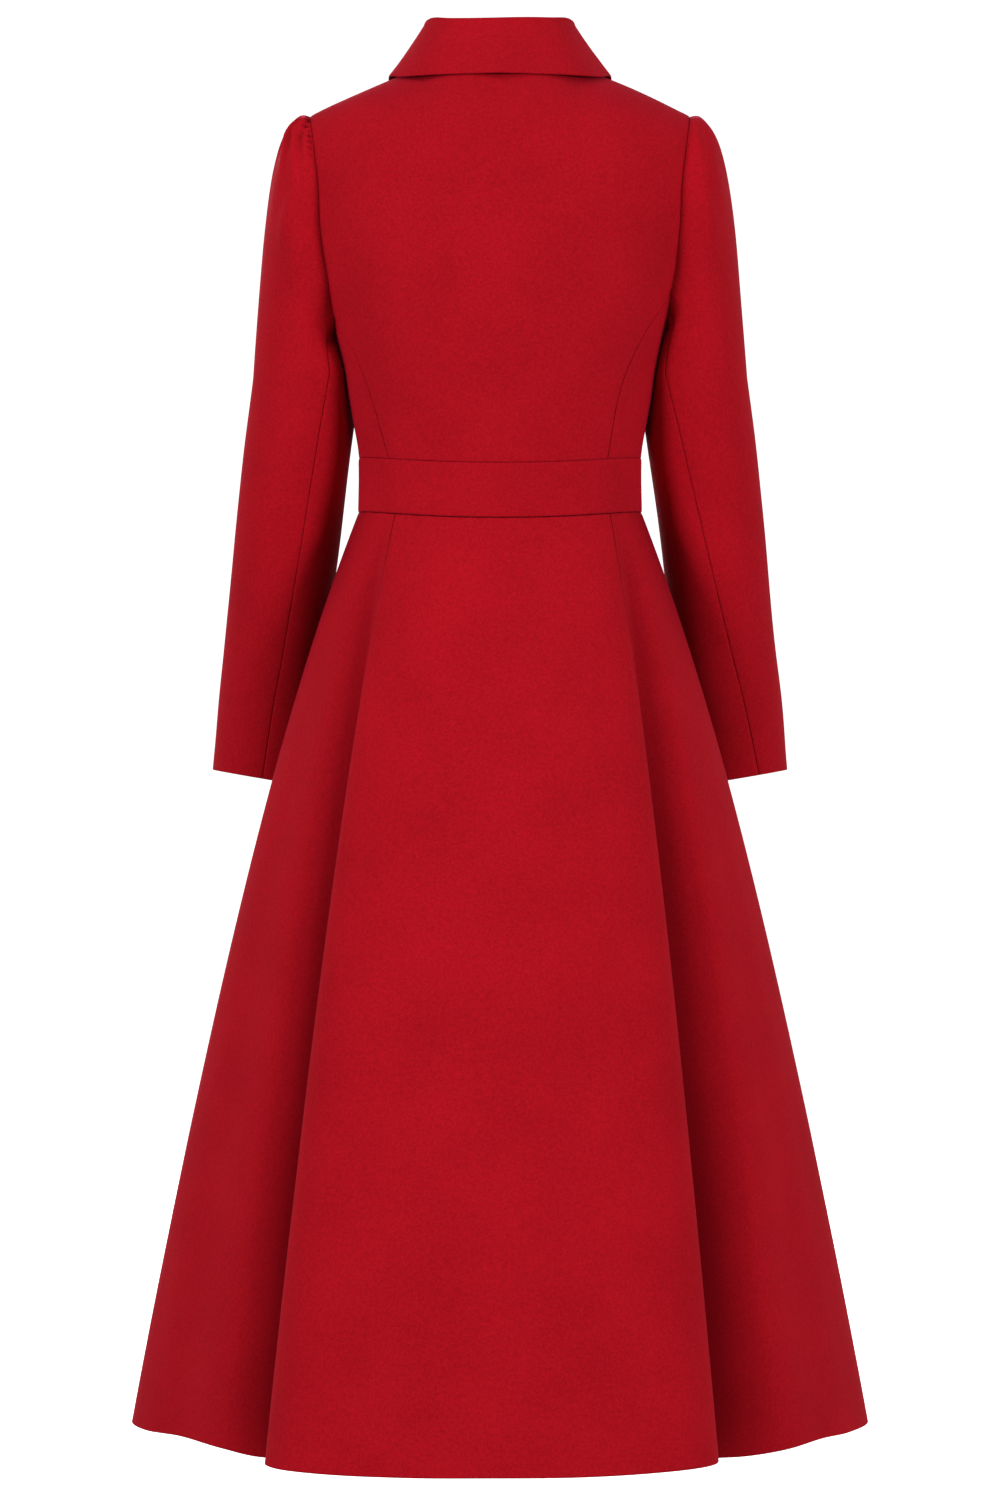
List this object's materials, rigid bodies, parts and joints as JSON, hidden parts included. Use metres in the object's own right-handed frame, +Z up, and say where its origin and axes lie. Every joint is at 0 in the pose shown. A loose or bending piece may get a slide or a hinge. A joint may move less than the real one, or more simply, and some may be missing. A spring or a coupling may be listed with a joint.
{
  "type": "swing coat",
  "caption": "Fit-and-flare coat in red napped wool with a banded waist, panelled flared skirt, long gathered-head sleeves and a turned-down collar, filled out and hollow.",
  "frame": {"origin": "middle of the line between the two side neck points, where the wearer's shoulders carry the coat", "axes": "+Z up, +X to the wearer's left, and the front faces -Y"},
  "size_m": [0.692, 0.5447, 1.3229],
  "materials": {
    "wool_cloth": "dense red wool with a short, soft, matt nap",
    "button_plastic": "dark red moulded plastic, softly polished"
  },
  "bodies": {
    "root": {"bodice_back": "wool_cloth", "bodice_side_back_left": "wool_cloth", "bodice_side_front_left": "wool_cloth", "bodice_front_left": "wool_cloth", "bodice_side_back_right": "wool_cloth", "bodice_side_front_right": "wool_cloth", "bodice_front_right": "wool_cloth", "waistband_back": "wool_cloth", "waistband_front_left": "wool_cloth", "waistband_front_right": "wool_cloth", "skirt_back": "wool_cloth", "skirt_side_back_left": "wool_cloth", "skirt_side_front_left": "wool_cloth", "skirt_front_left": "wool_cloth", "skirt_side_back_right": "wool_cloth", "skirt_side_front_right": "wool_cloth", "skirt_front_right": "wool_cloth", "sleeve_upper_left": "wool_cloth", "sleeve_under_left": "wool_cloth", "sleeve_upper_right": "wool_cloth", "sleeve_under_right": "wool_cloth", "collar": "wool_cloth", "button_1": "button_plastic", "button_2": "button_plastic", "button_3": "button_plastic", "button_4": "button_plastic", "button_5": "button_plastic", "button_6": "button_plastic"}
  },
  "joints": []
}
